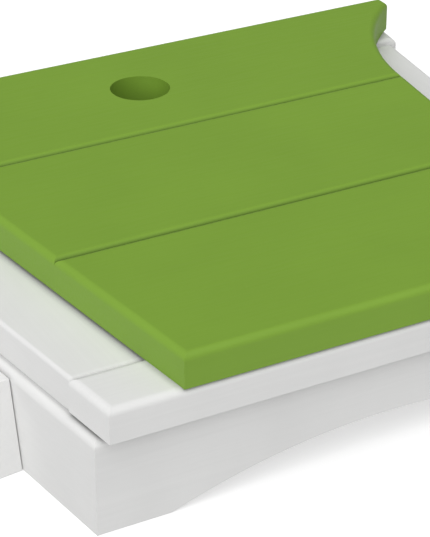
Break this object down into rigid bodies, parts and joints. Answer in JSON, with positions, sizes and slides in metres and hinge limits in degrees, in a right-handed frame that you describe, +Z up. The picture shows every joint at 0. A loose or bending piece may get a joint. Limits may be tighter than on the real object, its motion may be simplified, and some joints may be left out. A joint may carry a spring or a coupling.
{
  "type": "sandbox with cover",
  "caption": "Low children's sandbox of thick plastic boards, flared towards the back, with arched front and rear walls and a lift-off plank cover with a hand hole.",
  "frame": {"origin": "on the ground, in the middle of the outer box", "axes": "+X right, +Y towards the wide back, +Z up"},
  "size_m": [0.893, 0.732, 0.189],
  "materials": {
    "cover_green": "smooth matte lime green",
    "white_board": "smooth matte white",
    "screw_steel": "stainless",
    "bumper_rubber": "matte black"
  },
  "bodies": {
    "base": {"ring_front": "white_board", "ring_rear": "white_board", "ring_left": "white_board", "ring_right": "white_board", "wall_front": "white_board", "wall_rear": "white_board", "wall_left": "white_board", "wall_right": "white_board", "corner_post_front_left": "white_board", "corner_post_front_right": "white_board", "corner_post_rear_left": "white_board", "corner_post_rear_right": "white_board", "ring_cleat_front": "white_board", "ring_cleat_rear": "white_board", "ring_cleat_left": "white_board", "ring_cleat_right": "white_board", "floor_cleat_left": "white_board", "floor_cleat_right": "white_board", "floor_bearer": "white_board", "floor_board_1": "white_board", "floor_board_2": "white_board", "floor_board_3": "white_board", "floor_board_4": "white_board", "floor_board_5": "white_board", "side_foot_left": "white_board", "side_foot_right": "white_board", "ring_screws": "screw_steel", "wall_screws": "screw_steel", "cleat_screws": "screw_steel", "floor_screws": "screw_steel", "foot_screws": "screw_steel", "foot_spacers": "bumper_rubber"},
    "cover": {"cover_plank_front": "cover_green", "cover_plank_middle": "cover_green", "cover_plank_rear": "cover_green", "cover_batten_left": "cover_green", "cover_batten_right": "cover_green", "cover_bumpers": "bumper_rubber", "batten_screws": "screw_steel"}
  },
  "joints": [
    {"name": "cover_lift", "type": "slide", "parent": "base", "child": "cover", "axis": [0, 0, 1], "range_m": [0, 0.25]}
  ]
}
